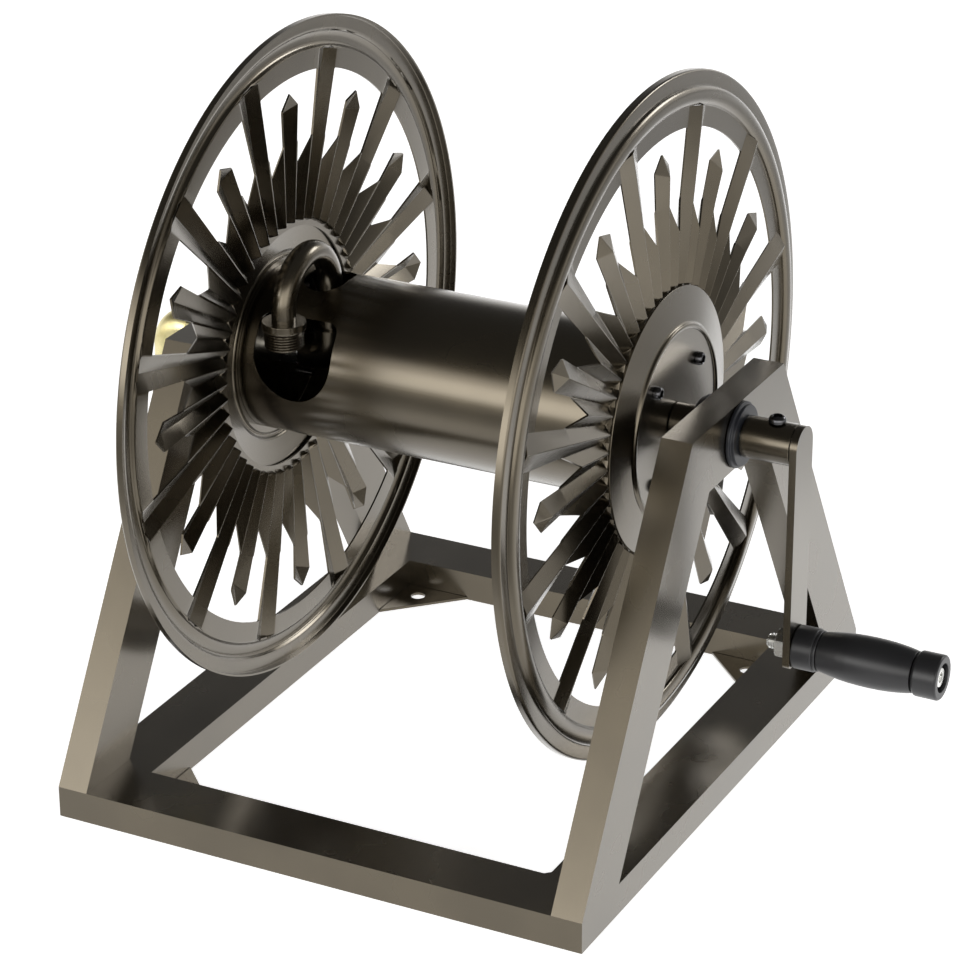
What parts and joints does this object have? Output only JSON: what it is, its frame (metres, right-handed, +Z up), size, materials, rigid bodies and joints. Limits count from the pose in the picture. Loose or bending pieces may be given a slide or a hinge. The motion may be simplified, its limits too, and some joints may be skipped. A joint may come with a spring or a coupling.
{
  "type": "garden hose reel",
  "caption": "Free-standing garden hose reel: tube stand, drum between sunburst flanges, crank handle, gooseneck outlet and swivel inlet.",
  "frame": {"origin": "centre of the object's box at ground level", "axes": "+X along the axle towards the crank, -Y the front where the hose leaves, +Z up"},
  "size_m": [0.676, 0.5254, 0.5674],
  "materials": {
    "bronze_coat": "semi-gloss metallic dark bronze powder coat",
    "bushing_plastic": "moulded blue-grey",
    "black_plastic": "moulded black, satin",
    "black_screw": "black oxide",
    "zinc": "bright zinc plate",
    "brass": "machined and cast brass",
    "rubber": "moulded seal"
  },
  "bodies": {
    "stand": {"base_front_rail": "bronze_coat", "base_rear_rail": "bronze_coat", "base_left_rail": "bronze_coat", "base_right_rail": "bronze_coat", "left_front_leg": "bronze_coat", "left_rear_leg": "bronze_coat", "left_top_bar": "bronze_coat", "right_front_leg": "bronze_coat", "right_rear_leg": "bronze_coat", "right_top_bar": "bronze_coat", "gusset_front_left": "bronze_coat", "gusset_front_right": "bronze_coat", "gusset_rear_left": "bronze_coat", "gusset_rear_right": "bronze_coat", "left_bushing_outer": "bushing_plastic", "left_bushing_inner": "bushing_plastic", "right_bushing_outer": "bushing_plastic", "right_bushing_inner": "bushing_plastic"},
    "reel": {"left_flange": "bronze_coat", "right_flange": "bronze_coat", "left_hub_cone": "bronze_coat", "right_hub_cone": "bronze_coat", "left_hub_plate": "bronze_coat", "right_hub_plate": "bronze_coat", "left_hub_screw_1": "black_screw", "left_hub_screw_2": "black_screw", "left_hub_screw_3": "black_screw", "left_hub_screw_4": "black_screw", "right_hub_screw_1": "black_screw", "right_hub_screw_2": "black_screw", "right_hub_screw_3": "black_screw", "right_hub_screw_4": "black_screw", "drum": "bronze_coat", "left_axle_pipe": "zinc", "right_axle_shaft": "zinc", "left_axle_sleeve": "bronze_coat", "right_axle_sleeve": "bronze_coat", "drum_elbow": "bronze_coat", "gooseneck_pipe": "bronze_coat", "outlet_collar": "bronze_coat", "threaded_outlet": "bronze_coat", "crank_sleeve": "bronze_coat", "crank_screw": "black_screw", "crank_arm": "bronze_coat", "handle_bolt": "zinc", "handle_nut": "zinc", "grip_collar": "black_plastic", "grip_end_cap": "black_plastic"},
    "grip": {"grip": "black_plastic"},
    "inlet": {"inlet_swivel_nut": "brass", "inlet_seal": "rubber", "inlet_elbow": "brass", "inlet_thread": "brass"}
  },
  "joints": [
    {"name": "reel_spin", "type": "hinge", "parent": "stand", "child": "reel", "pos_m": [-0.0535, 0, 0.3047], "axis": [1, 0, 0], "continuous": true},
    {"name": "grip_spin", "type": "hinge", "parent": "reel", "child": "grip", "pos_m": [-0.0535, 0, 0.1407], "axis": [1, 0, 0], "continuous": true},
    {"name": "inlet_swivel", "type": "hinge", "parent": "stand", "child": "inlet", "pos_m": [-0.0535, 0, 0.3047], "axis": [1, 0, 0], "continuous": true}
  ]
}
